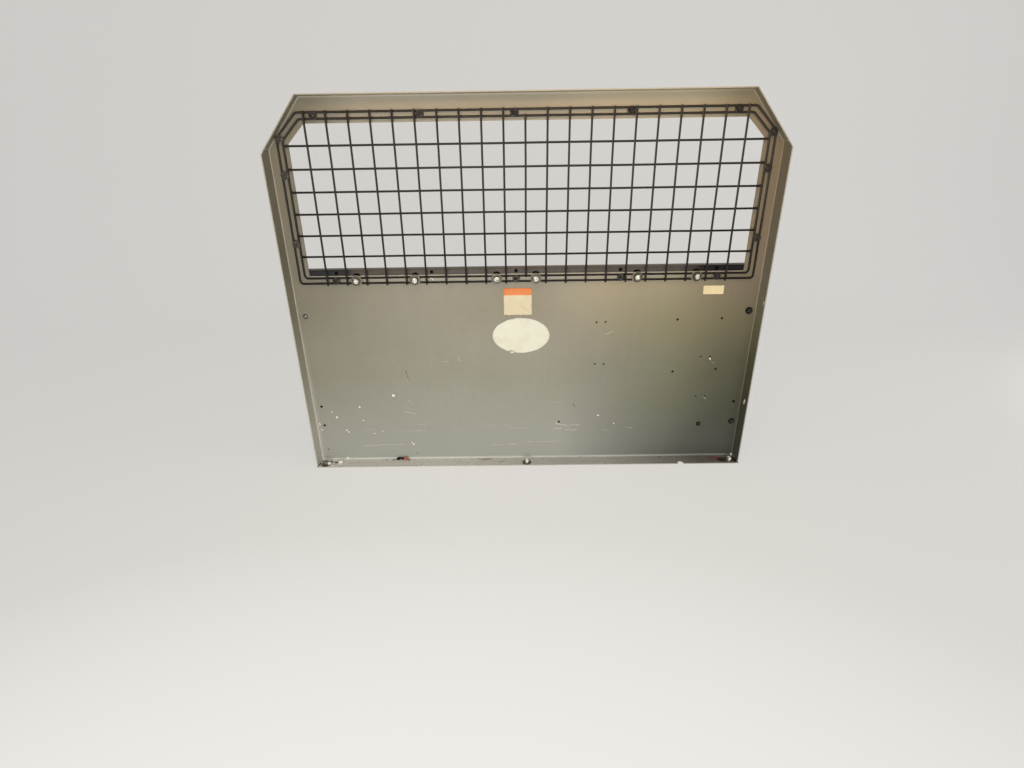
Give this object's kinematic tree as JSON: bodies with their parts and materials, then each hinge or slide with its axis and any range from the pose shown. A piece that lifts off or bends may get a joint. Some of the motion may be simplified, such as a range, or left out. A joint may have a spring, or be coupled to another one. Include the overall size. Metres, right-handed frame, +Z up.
{
  "type": "vehicle cargo partition",
  "caption": "Folded steel cargo partition with a window covered by a black welded wire grille, bolted to the floor by a flange.",
  "frame": {"origin": "centre of the middle floor bolt hole, on the underside of the floor flange", "axes": "+Z up, +Y towards the front of the vehicle, +X to the right as seen from the cargo space"},
  "size_m": [1.212, 0.067, 0.948],
  "materials": {
    "panel": "warm grey fine-texture powder coat",
    "rail": "warm grey fine-texture powder coat",
    "wire": "black semi-gloss powder coat",
    "clamp": "black satin coating",
    "rivet_nut": "dull zinc plating",
    "washer": "dark phosphate coating",
    "bolt": "bright zinc plating",
    "panel_screw": "black satin coating"
  },
  "bodies": {
    "root": {"panel": "panel", "sill_rail": "rail", "perimeter_wire_outer": "wire", "perimeter_wire_inner": "wire", "grille_uprights": "wire", "grille_middle_upright": "wire", "grille_crossbars": "wire", "lower_clamp_washers": "clamp", "upper_clamp_washers": "clamp", "side_clamp_washers": "clamp", "lower_clamp_screws": "clamp", "upper_clamp_screws": "clamp", "side_clamp_screws": "clamp", "rivet_nuts": "rivet_nut", "sill_washers": "washer", "sill_bolts": "bolt", "sill_nuts": "bolt", "panel_screws": "panel_screw", "panel_nuts": "bolt"}
  },
  "joints": []
}
